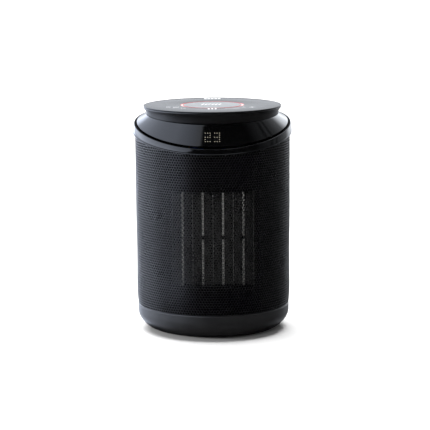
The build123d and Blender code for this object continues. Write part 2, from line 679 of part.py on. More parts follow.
with BuildPart() as heat_sink:
    with Locations((-18, 33, board_top_z)):
        Box(30, 3, 16, align=UPWARD)
    with Locations(*[(-18 + 6 * n, 33, board_top_z) for n in range(-2, 3)]):
        Box(1.2, 9, 16, align=UPWARD)
write(heat_sink, "heat_sink")

# ---------------------------------------------------------------------------
# Control disc with its touch panel
# ---------------------------------------------------------------------------
SHELF_Z = TOP_Z - 1.5
PANEL_TOP_Z = TOP_Z - 0.1
PANEL_R = DISC_R - 1.2
FLANK_R = 77.2            # neck of the disc, inside the collar's upper edge
FLANK_Z = 257.0
LIGHT_R = 36.0
LIGHT_W = 3.4
LIGHT_DROP = 0.8          # the light ring lies in a groove of the panel
with BuildPart() as control_disc:
    with BuildSketch(Plane.XZ):
        with BuildLine():
            Polyline((0, DISC_FLOOR_Z), (73.6, DISC_FLOOR_Z))
            Spline((73.6, DISC_FLOOR_Z), (76.2, 253.9), (FLANK_R, FLANK_Z), tangents=[(1, 0.1), (0.1, 1)])
            lip = Spline(
                (FLANK_R, FLANK_Z), (78.6, 261.2), (DISC_R, TOP_Z - 1.1),
                tangents=[(0.1, 1), (0.5, 1)],
            )
            Polyline(
                lip @ 1, (DISC_R, TOP_Z - 0.4), (DISC_R - 0.4, TOP_Z), (PANEL_R + 0.1, TOP_Z),
                (PANEL_R + 0.1, SHELF_Z), (PANEL_R - 2.6, SHELF_Z), (75.4, 262), (74.8, 257),
                (72.6, 254.4), (0, 254.4), (0, DISC_FLOOR_Z),
            )
        make_face()
    revolve(axis=Axis.Z)
    # Foot ring: the disc stands on the collar with a shadow gap around it.
    with Locations((0, 0, SEAT_Z)):
        Cylinder(70, DISC_FLOOR_Z - SEAT_Z, align=UPWARD)
        Cylinder(60, DISC_FLOOR_Z - SEAT_Z, align=UPWARD, mode=Mode.SUBTRACT)
        Cylinder(8, 10, align=UPWARD, mode=Mode.SUBTRACT)
    with Locations(*[(x, y, 254.4) for x, y in DISC_SCREW_AT]):
        Cylinder(3.4, 5.6, align=UPWARD)
    with Locations(*[(x, y, SEAT_Z) for x, y in DISC_SCREW_AT]):
        Cylinder(1.55, 8, align=UPWARD, mode=Mode.SUBTRACT)
    with Locations(*[(x, y, 254.4) for x, y in polar(50, 45, 135, 225, 315)]):
        Cylinder(3, 4.4, align=UPWARD)
write(control_disc, "control_disc")

disc_screws = screws(Plane.XY.offset(SEAT_Z - COLLAR_WALL), DISC_SCREW_AT, 1.5, 9, 3, 2)
write(disc_screws, "disc_screws")

TOUCH_BOARD_Z = 258.8
touch_board_top_z = TOUCH_BOARD_Z + BOARD_T
with BuildPart() as touch_board:
    with Locations((0, 0, TOUCH_BOARD_Z)):
        Cylinder(60, BOARD_T, align=UPWARD)
        Cylinder(7, BOARD_T, align=UPWARD, mode=Mode.SUBTRACT)
write(touch_board, "touch_board")

KEYS_AT = [(-51.5, -25), (-42.5, -26), (0, -45), (36, -31), (46.5, -31.5)]
touch_coil = coil(2.6, 0.3, SHELF_Z - touch_board_top_z, 3)
with BuildPart() as touch_springs:
    with Locations(*[(x, y, touch_board_top_z) for x, y in KEYS_AT]):
        add(touch_coil)
write(touch_springs, "touch_springs")

with BuildPart() as light_guide:
    with Locations((0, 0, touch_board_top_z)):
        Cylinder(LIGHT_R + 3, SHELF_Z - touch_board_top_z, align=UPWARD)
        Cylinder(LIGHT_R - 3, SHELF_Z - touch_board_top_z, align=UPWARD, mode=Mode.SUBTRACT)
write(light_guide, "light_guide")

with BuildPart() as touch_panel:
    with Locations((0, 0, SHELF_Z)):
        Cylinder(PANEL_R, PANEL_TOP_Z - SHELF_Z, align=UPWARD)
        Cylinder(LIGHT_R + LIGHT_W / 2, PANEL_TOP_Z - SHELF_Z, align=UPWARD, mode=Mode.SUBTRACT)
write(touch_panel, "touch_panel")

with BuildPart() as light_ring:
    with Locations((0, 0, SHELF_Z)):
        Cylinder(LIGHT_R + LIGHT_W / 2, PANEL_TOP_Z - SHELF_Z - LIGHT_DROP, align=UPWARD)
        Cylinder(LIGHT_R - LIGHT_W / 2, PANEL_TOP_Z - SHELF_Z, align=UPWARD, mode=Mode.SUBTRACT)
write(light_ring, "light_ring")

with BuildPart() as centre_badge:
    with Locations((0, 0, SHELF_Z)):
        Cylinder(LIGHT_R - LIGHT_W / 2, PANEL_TOP_Z - SHELF_Z, align=UPWARD)
write(centre_badge, "centre_badge")
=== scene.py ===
"""The looks of a small ceramic heater: punched grille, gloss rim and collar, display and touch disc."""
import json
from math import cos, hypot, pi, radians, sin, sqrt

import bpy
import numpy as np
from mathutils import Matrix, Vector


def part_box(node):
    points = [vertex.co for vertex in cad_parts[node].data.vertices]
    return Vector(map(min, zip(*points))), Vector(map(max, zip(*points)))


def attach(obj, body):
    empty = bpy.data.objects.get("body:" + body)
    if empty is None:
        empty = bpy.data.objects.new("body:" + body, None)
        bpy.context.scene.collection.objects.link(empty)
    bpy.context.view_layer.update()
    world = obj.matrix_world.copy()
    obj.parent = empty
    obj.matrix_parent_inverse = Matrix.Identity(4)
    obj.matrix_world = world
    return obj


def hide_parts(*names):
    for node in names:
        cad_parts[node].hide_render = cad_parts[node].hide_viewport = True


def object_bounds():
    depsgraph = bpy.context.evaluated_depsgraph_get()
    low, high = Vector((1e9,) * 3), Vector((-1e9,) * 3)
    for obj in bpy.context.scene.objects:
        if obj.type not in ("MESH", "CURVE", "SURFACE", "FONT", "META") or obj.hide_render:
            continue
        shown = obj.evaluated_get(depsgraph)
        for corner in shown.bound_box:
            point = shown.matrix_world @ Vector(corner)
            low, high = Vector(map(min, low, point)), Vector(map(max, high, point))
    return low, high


MM = 0.001
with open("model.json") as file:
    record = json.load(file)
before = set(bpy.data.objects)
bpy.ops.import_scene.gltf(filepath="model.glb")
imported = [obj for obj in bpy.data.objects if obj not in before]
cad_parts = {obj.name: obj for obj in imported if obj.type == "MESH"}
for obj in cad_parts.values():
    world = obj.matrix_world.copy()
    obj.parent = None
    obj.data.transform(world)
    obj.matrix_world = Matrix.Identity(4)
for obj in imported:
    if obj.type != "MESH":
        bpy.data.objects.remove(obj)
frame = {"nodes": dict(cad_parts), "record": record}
cad_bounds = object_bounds()


# ---------------------------------------------------------------------------
# What the frame says
# ---------------------------------------------------------------------------
def vertices(node):
    """A CAD node's vertices as an array of x, y, z."""
    mesh = frame["nodes"][node].data
    flat = np.empty(len(mesh.vertices) * 3)
    mesh.vertices.foreach_get("co", flat)
    return flat.reshape(-1, 3)


def outer_radius(node):
    """A CAD node's greatest radius from the axis."""
    return float(np.hypot(*vertices(node)[:, :2].T).max())


def wall_profile(node):
    """Outer radius of a turned wall as a polynomial in z."""
    points = vertices(node)
    radius = np.hypot(points[:, 0], points[:, 1])
    rings = {}
    for r, z in zip(radius, points[:, 2]):
        key = round(z / MM)
        rings[key] = max(rings.get(key, 0), r)
    heights = [z * MM for z in rings]
    return np.poly1d(np.polyfit(heights, list(rings.values()), 7))


RIM_R = outer_radius("rim_ring")
SEAM_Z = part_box("mesh_grille")[0].z       # the grille stands on the base here
TOP_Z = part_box("control_disc")[1].z
SEAT_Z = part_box("control_disc")[0].z      # the disc's foot stands here
COLLAR_LOW_R = outer_radius("collar")
COLLAR_TOP_R = 77.9 * MM
COLLAR_GAP = 0.05 * MM    # its lower edge lies this far under the rim's upper edge
COLLAR_WALL = 2.2 * MM
DISC_R = outer_radius("control_disc")

# Edges that climb towards the back: height at the middle, slope and curve over y.
RIM_TOP = (0.249, 0.1728, -0.583)
RIM_LOW = (0.237, 0.1645, -0.258)
COLLAR_TOP = (0.258, 0.035, -0.4)


def edge_height(edge, y):
    """Height of a sloping edge at a depth y."""
    middle, slope, curve = edge
    return middle + slope * y + curve * y * y


def collar_low(y):
    """Height of the collar's lower edge."""
    return edge_height(RIM_TOP, y) - COLLAR_GAP


# ---------------------------------------------------------------------------
# Camera
# ---------------------------------------------------------------------------
CAMERA_DISTANCE = 2.43
CAMERA_ELEVATION = radians(9.27)
CAMERA_ROLL = radians(-0.385)
AIM = Vector((0.0024, 0, 0.1356))
FOCAL_LENGTH = 170.5      # on a 36 mm sensor


def add_camera():
    """The photo's view: from in front, a little above."""
    data = bpy.data.cameras.new("camera")
    data.lens = FOCAL_LENGTH
    data.sensor_width = 36
    data.clip_end = 100
    camera = bpy.data.objects.new("camera", data)
    bpy.context.scene.collection.objects.link(camera)
    back = Vector((0, -cos(CAMERA_ELEVATION), sin(CAMERA_ELEVATION)))
    look = (-back).to_track_quat("-Z", "Y").to_matrix().to_4x4()
    roll = Matrix.Rotation(CAMERA_ROLL, 4, "Z")
    camera.matrix_world = Matrix.Translation(AIM + back * CAMERA_DISTANCE) @ look @ roll
    bpy.context.scene.camera = camera


add_camera()


# ---------------------------------------------------------------------------
# Materials
# ---------------------------------------------------------------------------
def principled(name, color, roughness, metallic=0.0, ior=1.5):
    """A plain material."""
    material = bpy.data.materials.new(name)
    material.use_nodes = True
    shader = material.node_tree.nodes["Principled BSDF"]
    shader.inputs["Base Color"].default_value = (*color, 1)
    shader.inputs["Roughness"].default_value = roughness
    shader.inputs["Metallic"].default_value = metallic
    shader.inputs["IOR"].default_value = ior
    return material


def noise(tree, scale, detail=3.0, stretch=(1, 1, 1)):
    """Noise in object space; scale counts features per metre."""
    place = tree.nodes.new("ShaderNodeTexCoord")
    mapping = tree.nodes.new("ShaderNodeMapping")
    mapping.inputs["Scale"].default_value = stretch
    texture = tree.nodes.new("ShaderNodeTexNoise")
    texture.inputs["Scale"].default_value = scale
    texture.inputs["Detail"].default_value = detail
    tree.links.new(place.outputs["Object"], mapping.inputs["Vector"])
    tree.links.new(mapping.outputs["Vector"], texture.inputs["Vector"])
    return texture.outputs["Fac"]


def remap(tree, value, low, high, start=0.3, end=0.7):
    """The value's range from start to end carried over to low and high, and held there beyond it."""
    node = tree.nodes.new("ShaderNodeMapRange")
    node.inputs["From Min"].default_value = start
    node.inputs["From Max"].default_value = end
    node.inputs["To Min"].default_value = low
    node.inputs["To Max"].default_value = high
    tree.links.new(value, node.inputs["Value"])
    return node.outputs["Result"]


def mixed(tree, factor, first, second):
    """A colour between two colours."""
    mix = tree.nodes.new("ShaderNodeMix")
    mix.data_type = "RGBA"
    mix.inputs["A"].default_value = (*first, 1)
    mix.inputs["B"].default_value = (*second, 1)
    tree.links.new(factor, mix.inputs["Factor"])
    return mix.outputs["Result"]


def add_grain(material, scale, depth, stretch=(1, 1, 1)):
    """A fine moulded or sprayed texture; depth in metres."""
    tree = material.node_tree
    bump = tree.nodes.new("ShaderNodeBump")
    bump.inputs["Strength"].default_value = 1.0
    bump.inputs["Distance"].default_value = depth
    tree.links.new(noise(tree, scale, 2, stretch), bump.inputs["Height"])
    tree.links.new(bump.outputs["Normal"], tree.nodes["Principled BSDF"].inputs["Normal"])


def add_patches(material, scale, low, high, stretch=(1, 1, 1)):
    """Slow changes of roughness, as from handling and moulding."""
    tree = material.node_tree
    patches = remap(tree, noise(tree, scale, 4, stretch), low, high)
    tree.links.new(patches, tree.nodes["Principled BSDF"].inputs["Roughness"])


def add_tint(material, scale, dark, light, stretch=(1, 1, 1)):
    """Base colour that drifts between two tones."""
    tree = material.node_tree
    tone = mixed(tree, remap(tree, noise(tree, scale, 4, stretch), 0, 1), dark, light)
    tree.links.new(tone, tree.nodes["Principled BSDF"].inputs["Base Color"])


def grey(value):
    """A colour with no hue."""
    return (value, value, value)


def make_material(name, tone, rough, grain=None, metallic=0.0, ior=1.5):
    """A finish from its tone, roughness and grain.

    tone is one colour, or a scale with a dark and a light colour. rough is one number, or a scale
    with a low and a high number. grain is a scale and a depth in metres. Each may end with a stretch.
    """
    drifts, varies = isinstance(tone[1], tuple), isinstance(rough, tuple)
    color = tone[1] if drifts else tone
    material = principled(name, color, rough[1] if varies else rough, metallic, ior)
    if grain:
        add_grain(material, *grain)
    if varies:
        add_patches(material, *rough)
    if drifts:
        add_tint(material, *tone)
    return material


def make_glowing(name, color, strength, base, rough):
    """A finish that gives light of its own."""
    material = make_material(name, base, rough)
    shader = material.node_tree.nodes["Principled BSDF"]
    shader.inputs["Emission Color"].default_value = (*color, 1)
    shader.inputs["Emission Strength"].default_value = strength
    return material


def make_red_diffuser():
    """Red light that is nearly white on the lit floor of the ring's channel."""
    material = make_glowing("red_diffuser", (1.0, 0.1, 0.1), 1.2,
                            base=(0.12, 0.01, 0.01), rough=(80, 0.22, 0.36))
    tree = material.node_tree
    place = tree.nodes.new("ShaderNodeTexCoord").outputs["Object"]
    level = tree.nodes.new("ShaderNodeSeparateXYZ")
    tree.links.new(place, level.inputs["Vector"])
    above_floor = remap(tree, level.outputs["Z"], 0, 1, LAMP_Z, LAMP_Z + 0.3 * MM)
    glow = mixed(tree, above_floor, (1.0, 0.78, 0.76), (0.36, 0.035, 0.04))
    tree.links.new(glow, tree.nodes["Principled BSDF"].inputs["Emission Color"])
    return material


LAMP_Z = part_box("light_ring")[1].z       # floor of the light ring's channel
BRUSHED = (1, 1, 0.08)                   # grain drawn out along Z
STREAKED = (1, 1, 0.3)
FOIL_GRAIN = (700, 0.008 * MM, BRUSHED)

FINISHES = {
    "black_matte": dict(tone=(60, (0.010, 0.010, 0.011), (0.014, 0.014, 0.015)), rough=(22, 0.38, 0.46),
                        grain=(2600, 0.012 * MM)),
    # The disc's copy of black_matte is darker: painted shade for its downward-facing flank under the
    # overhang.
    "disc_matte": dict(tone=(60, (0.003, 0.003, 0.0035), (0.0055, 0.0055, 0.006)), rough=(22, 0.32, 0.4),
                       grain=(2600, 0.008 * MM), ior=1.6),
    "black_gloss": dict(tone=(30, (0.0012, 0.0012, 0.0014), (0.002, 0.002, 0.0022)),
                        rough=(18, 0.05, 0.10), grain=(120, 0.004 * MM)),
    "grille_paint": dict(tone=(90, (0.0055, 0.0055, 0.006), (0.0075, 0.0075, 0.008)),
                         rough=(30, 0.26, 0.34), grain=(4200, 0.008 * MM), ior=1.75),
    "inner_black": dict(tone=(40, grey(0.001), grey(0.002)), rough=0.7, grain=(1500, 0.02 * MM),
                        ior=1.15),
    "foot_rubber": dict(tone=(200, grey(0.008), grey(0.018)), rough=0.75, grain=(1800, 0.03 * MM)),
    "touch_glass": dict(tone=(35, (0.017, 0.017, 0.018), (0.023, 0.023, 0.024)), rough=(25, 0.13, 0.18),
                        grain=(900, 0.002 * MM)),
    "badge_satin": dict(tone=(40, (0.21, 0.22, 0.23), (0.25, 0.26, 0.27)), rough=(25, 0.22, 0.3),
                        grain=(900, 0.002 * MM)),
    "screw_steel": dict(tone=(0.55, 0.55, 0.56), rough=(300, 0.25, 0.4),
                        grain=(1200, 0.01 * MM, (1, 1, 0.1)), metallic=1),
    "spring_steel": dict(tone=(0.62, 0.62, 0.63), rough=(500, 0.16, 0.3), metallic=1),
    "light_nylon": dict(tone=(60, (0.68, 0.66, 0.59), (0.75, 0.73, 0.68)), rough=0.45,
                        grain=(900, 0.01 * MM)),
    "element_aluminium": dict(tone=(160, (0.36, 0.36, 0.35), (0.54, 0.54, 0.53), STREAKED),
                              rough=(140, 0.35, 0.6, (1, 1, 0.2)),
                              grain=(700, 0.03 * MM, BRUSHED), metallic=0.35),
    "strip_foil": dict(tone=(160, (0.2, 0.2, 0.193), (0.29, 0.29, 0.28), STREAKED),
                       rough=(140, 0.5, 0.7, (1, 1, 0.2)), grain=FOIL_GRAIN, ior=1.3),
    "plate_foil": dict(tone=(160, (0.11, 0.11, 0.108), (0.16, 0.16, 0.157), STREAKED), rough=0.6,
                       grain=FOIL_GRAIN, ior=1.3),
    # The fins' foil is the strips' aluminium painted much darker: painted shade of the deep channels
    # between the strips.
    "fin_foil_painted_shade": dict(tone=(160, grey(0.055), grey(0.1), STREAKED), rough=0.6, grain=FOIL_GRAIN, ior=1.3),
    "brass_tabs": dict(tone=(0.72, 0.5, 0.2), rough=(300, 0.22, 0.4), metallic=1),
    "motor_paint": dict(tone=(0.25, 0.26, 0.27), rough=(90, 0.3, 0.45), grain=(500, 0.01 * MM),
                        metallic=0.8),
    "motor_iron": dict(tone=(150, (0.09, 0.08, 0.075), (0.15, 0.14, 0.13)), rough=0.6,
                       grain=(2000, 0.03 * MM, (0.02, 1, 0.02)), metallic=0.6),
    "fan_plastic": dict(tone=(0.02, 0.02, 0.021), rough=(60, 0.34, 0.48), grain=(800, 0.01 * MM)),
    "board_green": dict(tone=(700, (0.008, 0.07, 0.028), (0.018, 0.13, 0.05)), rough=0.35,
                        grain=(500, 0.03 * MM)),
    "relay_case": dict(tone=(0.02, 0.07, 0.3), rough=(120, 0.25, 0.38)),
    "capacitor_case": dict(tone=(0.6, 0.4, 0.03), rough=(120, 0.3, 0.42)),
    "lamp_diffuser": dict(tone=(200, (0.66, 0.63, 0.55), (0.74, 0.71, 0.65)), rough=0.4,
                          grain=(900, 0.01 * MM)),
    "digit_off": dict(tone=(0.006, 0.006, 0.006), rough=(400, 0.12, 0.2)),
    "icon_print": dict(tone=(900, (0.78, 0.79, 0.81), (0.9, 0.91, 0.93)), rough=0.5),
}
materials = {name: make_material(name, **look) for name, look in FINISHES.items()}
materials["digit_light"] = make_glowing("digit_light", (1.0, 0.9, 0.7), 0.26,
                                        base=(0.3, 0.28, 0.23), rough=(400, 0.25, 0.4))
materials["red_diffuser"] = make_red_diffuser()

# CAD nodes that look different from their slot's usual finish.
FINISH_OF = {"fin_plates": "plate_foil", "ptc_strips": "strip_foil"}
slot_of = {row["node"]: row["material_slot"] for row in frame["record"]["subparts"]}
for node, thing in frame["nodes"].items():
    thing.data.materials.clear()
    thing.data.materials.append(materials[FINISH_OF.get(node, slot_of[node])])


# ---------------------------------------------------------------------------
# Mesh helpers
# ---------------------------------------------------------------------------
def piece(name, points, faces, material, slot, body="housing", replaces=(), smooth_angle=35):
    """A finished mesh piece that rides on a body and takes the named finish."""
    mesh = bpy.data.meshes.new(name)
    mesh.from_pydata([tuple(p) for p in points], [], [tuple(f) for f in faces])
    mesh.update()
    mesh.materials.append(materials[material])
    mesh.shade_smooth()
    mesh.set_sharp_from_angle(angle=radians(smooth_angle))
    thing = bpy.data.objects.new(name, mesh)
    bpy.context.scene.collection.objects.link(thing)
    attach(thing, body)
    if replaces:
        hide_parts(*replaces)


def quads_of_grid(rows, columns):
    """Quads over a grid, closed both ways, whose point (i, j) is number i * columns + j."""
    faces = []
    for i in range(rows):
        for j in range(columns):
            here, after = i * columns, (i + 1) % rows * columns
            side = (j + 1) % columns
            faces.append((here + j, after + j, after + side, here + side))
    return faces


def swept(name, section, steps, *args, **kwargs):
    """A closed section, given as a function of the angle, carried round the Z axis."""
    angles = [2 * pi * n / steps for n in range(steps)]
    points = [(r * cos(a), r * sin(a), z) for a in angles for r, z in section(a)]
    piece(name, points, quads_of_grid(steps, len(points) // steps), *args, **kwargs)


def turned(name, outline, steps, *args, **kwargs):
    """A closed outline turned round the Z axis."""
    swept(name, lambda angle: outline, steps, *args, **kwargs)


def bend(points, steps):
    """A Catmull-Rom curve through the points."""
    p = [2 * Vector(points[0]) - Vector(points[1])] + [Vector(q) for q in points]
    p.append(2 * p[-1] - p[-2])
    line = []
    for a, b, c, d in zip(p, p[1:], p[2:], p[3:]):
        for n in range(steps):
            t = n / steps
            line.append(0.5 * (2 * b + (c - a) * t + (2 * a - 5 * b + 4 * c - d) * t ** 2
                               + (3 * b - 3 * c + d - a) * t ** 3))
    return [tuple(q) for q in line] + [tuple(p[-2])]


def round_corner(before, corner, after, radius, steps=5):
    """Points that round a corner of an outline, as a quadratic curve."""
    c = Vector(corner)
    a = c + (Vector(before) - c).normalized() * radius
    b = c + (Vector(after) - c).normalized() * radius
    shares = [n / steps for n in range(steps + 1)]
    return [tuple(a * (1 - t) ** 2 + c * 2 * t * (1 - t) + b * t ** 2) for t in shares]


def rounded(outline, radius, steps=4):
    """A closed outline with every corner rounded."""
    count = len(outline)
    line = []
    for n, corner in enumerate(outline):
        line += round_corner(outline[n - 1], corner, outline[(n + 1) % count], radius, steps)
    return line


def in_metres(points, r=0.0, z=0.0):
    """Points in millimetres from a place that is in metres."""
    return [(r + dr * MM, z + dz * MM) for dr, dz in points]


# ---------------------------------------------------------------------------
# Punched grille: a staggered lattice of round holes in a rolled sheet
# ---------------------------------------------------------------------------
HOLES_ROUND = 172
HOLE_R = 1.43 * MM
GRILLE_T = 1.0 * MM
CROWN = 0.02 * MM         # the webs stand this much prouder than the holes' edges
CORNERS = 12              # points round each hole
SECTORS = 6               # the wall is cut into this many pieces
grille_r = wall_profile("mesh_grille")
MEAN_R = float(grille_r(0.13))      # the wall's radius half way up
PITCH = 2 * pi * MEAN_R / HOLES_ROUND
ROW_RISE = PITCH * sqrt(3) / 2
FIRST_ROW_Z = SEAM_Z + 2.2 * MM
UNDER_RIM = 2.2 * MM      # the highest holes' centres lie at most this far above the rim's lower edge
MICRON = 1e-3 * MM
WELD = 20                 # corners closer than this many microns are one


def hexagon_outline():
    """Corners and side middles of a pointed-top hexagon as wide as the pitch."""
    reach = PITCH / sqrt(3)
    corners = [(reach * cos(radians(30 + 60 * k)), reach * sin(radians(30 + 60 * k))) for k in range(6)]
    line = []
    for a, b in zip(corners, corners[1:] + corners[:1]):
        line += [a, ((a[0] + b[0]) / 2, (a[1] + b[1]) / 2)]
    return np.array(line)


def grille_cells():
    """Centre of every cell as distance round the wall and height."""
    cells = []
    top = cad_bounds[1][2]
    row = 0
    while FIRST_ROW_Z + row * ROW_RISE < top:
        z = FIRST_ROW_Z + row * ROW_RISE
        for column in range(HOLES_ROUND):
            u = (column + 0.5 * (row % 2)) * PITCH
            y = -MEAN_R * cos(u / MEAN_R)
            if z < edge_height(RIM_LOW, y) + UNDER_RIM:
                cells.append((u, z))
        row += 1
    return np.array(cells)


def add_grille():
    """A sheet with a hole in every cell, bent to the wall's radius, in pieces side by side."""
    cells = grille_cells()
    cell_line = hexagon_outline()
    turn = np.arctan2(cell_line[:, 1], cell_line[:, 0])
    hole_line = HOLE_R * np.stack([np.cos(turn), np.sin(turn)], axis=-1)
    rims = cells[:, None, :] + cell_line[None]
    holes = cells[:, None, :] + hole_line[None]
    # The lowest row's cells run down to the plain edge of the sheet.
    lowest = (rims[..., 1] < FIRST_ROW_Z - PITCH / 5)
    rims[..., 1][lowest] = SEAM_Z
    # Neighbouring cells share their corners.
    around = round(HOLES_ROUND * PITCH / MICRON)
    keys = np.stack([np.rint(rims[..., 0] / MICRON) % around, np.rint(rims[..., 1] / MICRON)], axis=-1)
    keys = np.rint(keys / WELD).astype(np.int64).reshape(-1, 2)
    first, number = np.unique(keys, axis=0, return_index=True, return_inverse=True)[1:]
    corner = rims.reshape(-1, 2)[first]
    flat = np.concatenate([corner, holes.reshape(-1, 2)])
    outer = number.reshape(-1, CORNERS)
    hole = len(corner) + np.arange(len(cells) * CORNERS).reshape(-1, CORNERS)
    count = len(flat)
    radius = grille_r(np.clip(flat[:, 1], SEAM_Z, None))
    radius[:len(corner)] += CROWN
    angle = flat[:, 0] / MEAN_R - pi / 2
    wall = [np.stack([r * np.cos(angle), r * np.sin(angle), flat[:, 1]], axis=-1)
            for r in (radius, radius - GRILLE_T)]
    points = np.concatenate(wall)
    outer_next, hole_next = np.roll(outer, -1, axis=1), np.roll(hole, -1, axis=1)
    front = np.stack([outer, outer_next, hole_next, hole], axis=-1)
    back = np.stack([outer_next, outer, hole, hole_next], axis=-1) + count
    sides = np.stack([hole, hole_next, hole_next + count, hole + count], axis=-1)
    faces = np.concatenate([front, back, sides], axis=1)
    sector = (cells[:, 0] / (HOLES_ROUND * PITCH) * SECTORS).astype(int) % SECTORS
    for n in range(SECTORS):
        chosen = faces[sector == n].reshape(-1, 4)
        used, number = np.unique(chosen, return_inverse=True)
        name = f"grille_sector_{n + 1}"
        replaced = ("mesh_grille",) if n == 0 else ()
        piece(name, points[used], number.reshape(-1, 4), "grille_paint", "grille_paint",
              replaces=replaced, smooth_angle=50)


add_grille()


# ---------------------------------------------------------------------------
# Rim: a glossy band with a bead along its lower edge
# ---------------------------------------------------------------------------
# Outlines in millimetres, in from the rim's radius and up from a height.
RIM_LIP = [(-2.5, -1.9), (-2.2, -1.4), (-1.8, -1.3), (-1.5, -1.5), (-1.35, -2.1)]
RIM_BAND_MIDDLE = [(-0.85, 0.3)]
RIM_BAND_FOOT = [(-0.4, 2.7), (-0.4, 2.5), (-0.6, 2.3), (-1.5, 2.25), (-1.5, 1.95)]
RIM_BEAD = [(-0.95, 1.95), (-0.15, 1.2), (0, 0.8), (-0.15, 0.3), (-1.0, 0)]
RIM_INSIDE_LOW = [(-2.2, 0.2)]
RIM_INSIDE_TOP = [(-2.6, -3.0), (-2.6, -1.4)]


def rim_section(angle):
    """Section of the rim: lip, leaning band down to a fine groove, bead and back up inside."""
    y = RIM_R * sin(angle)
    top, low = float(edge_height(RIM_TOP, y)), float(edge_height(RIM_LOW, y))
    band = in_metres(RIM_BAND_MIDDLE, RIM_R, (top + low) / 2) + in_metres(RIM_BAND_FOOT, RIM_R, low)
    inside = in_metres(RIM_INSIDE_LOW, RIM_R, low) + in_metres(RIM_INSIDE_TOP, RIM_R, top)
    lip, bead = bend(in_metres(RIM_LIP, RIM_R, top), 4), bend(in_metres(RIM_BEAD, RIM_R, low), 4)
    return lip + band + bead + inside


swept("rim_band", rim_section, 360, "black_gloss", "black_gloss", replaces=("rim_ring",))


# ---------------------------------------------------------------------------
# Collar: a ruled skin from a circle under the disc down to the sloping rim
# ---------------------------------------------------------------------------
COLLAR_FLANGE_R = 58 * MM     # bore of the flange under the disc
SKIN_STEPS = 24


def collar_section(angle):
    """Section of the collar: over the upper edge, down the skin, round the nose, back to the flange."""
    head = Vector((COLLAR_TOP_R, edge_height(COLLAR_TOP, COLLAR_TOP_R * sin(angle))))
    edge = Vector((COLLAR_LOW_R, collar_low(COLLAR_LOW_R * sin(angle))))
    along = (edge - head).normalized()
    out = Vector((-along.y, along.x))
    shoulder = [head - out * 0.9 * MM, head - out * 0.3 * MM + along * 0.03 * MM,
                head - out * 0.06 * MM + along * 0.2 * MM]
    skin = [head + (edge - head) * n / SKIN_STEPS for n in range(1, SKIN_STEPS)]
    nose = [edge - along * 0.5 * MM, edge - along * 0.2 * MM - out * 0.05 * MM,
            edge - along * 0.03 * MM - out * 0.3 * MM, edge - along * 0.1 * MM - out * 0.9 * MM]
    inside = [(COLLAR_LOW_R - 1.6 * MM, edge.y - 1.3 * MM),
              (COLLAR_TOP_R + 1.4 * MM, SEAT_Z - COLLAR_WALL),
              (COLLAR_FLANGE_R, SEAT_Z - COLLAR_WALL), (COLLAR_FLANGE_R, SEAT_Z),
              (COLLAR_TOP_R - 0.1 * MM, SEAT_Z), (COLLAR_TOP_R, SEAT_Z + 0.2 * MM)]
    return [tuple(p) for p in shoulder + skin + nose] + inside


swept("collar_skin", collar_section, 360, "black_gloss", "black_gloss", replaces=("collar",))


# ---------------------------------------------------------------------------
# Control disc with its panel, light ring and printed marks
# ---------------------------------------------------------------------------
PANEL_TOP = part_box("touch_panel")[1].z
PANEL_R = outer_radius("touch_panel")
SHELF_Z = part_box("touch_panel")[0].z
FLOOR_Z = SEAT_Z + 0.8 * MM
FOOT_TOP_Z = FLOOR_Z + 2 * MM
foot_corners = [(70 * MM, SEAT_Z), (60 * MM, SEAT_Z), (60 * MM, FOOT_TOP_Z), (70 * MM, FOOT_TOP_Z)]
disc_foot = rounded(foot_corners, 0.2 * MM)
# Up the neck and the flaring flank to a bead, a fine groove and the thin upper edge.
disc_flank = [(72.6, 252.0), (75.2, 252.6), (76.6, 254.2), (77.2, 257.0), (77.8, 259.2), (78.6, 261.2),
              (79.6, 263.0), (80.6, 264.2), (81.25, 264.9), (81.45, 265.6), (81.35, 266.3), (80.9, 266.65)]
disc_outline = (
    [(20 * MM, FLOOR_Z)]
    + bend(in_metres(disc_flank), 6)
    + in_metres([(80.7, 266.85), (81.3, 266.95)])
    + round_corner((DISC_R, TOP_Z - 1.5 * MM), (DISC_R, TOP_Z), (DISC_R - 1 * MM, TOP_Z), 0.3 * MM)
    + [(PANEL_R + 0.35 * MM, TOP_Z), (PANEL_R + 0.15 * MM, TOP_Z - 0.15 * MM)]
    + [(PANEL_R + 0.1 * MM, SHELF_Z)]
    + in_metres([(77.7, 266.5), (75.4, 262), (74.8, 257), (72.6, 254.4), (20, 254.4)])
)
# The disc takes the darker black, painted shade of its underside flank.
turned("control_disc_body", disc_outline, 360, "disc_matte", "black_matte", replaces=("control_disc",))
turned("control_disc_foot", disc_foot, 180, "disc_matte", "black_matte")

groove_out, groove_in = outer_radius("light_ring"), outer_radius("centre_badge")
panel_corners = [(PANEL_R, SHELF_Z), (PANEL_R, PANEL_TOP), (groove_out, PANEL_TOP), (groove_out, SHELF_Z)]
panel_outline = rounded(panel_corners, 0.18 * MM)
turned("touch_panel_sheet", panel_outline, 360, "touch_glass", "touch_glass", replaces=("touch_panel",))

AXIS_R = 0.05 * MM        # the plate's mesh begins this close to the axis


def add_badge():
    """The flat round plate inside the light ring, with a rounded edge."""
    rings = [(AXIS_R, PANEL_TOP)] + [(groove_in * n / 12, PANEL_TOP) for n in range(1, 12)]
    edge = round_corner((0, PANEL_TOP), (groove_in, PANEL_TOP), (groove_in, SHELF_Z), 0.3 * MM)
    outline = rings + edge + [(groove_in, SHELF_Z), (AXIS_R, SHELF_Z)]
    turned("centre_badge_plate", outline, 240, "badge_satin", "touch_glass", replaces=("centre_badge",))


add_badge()

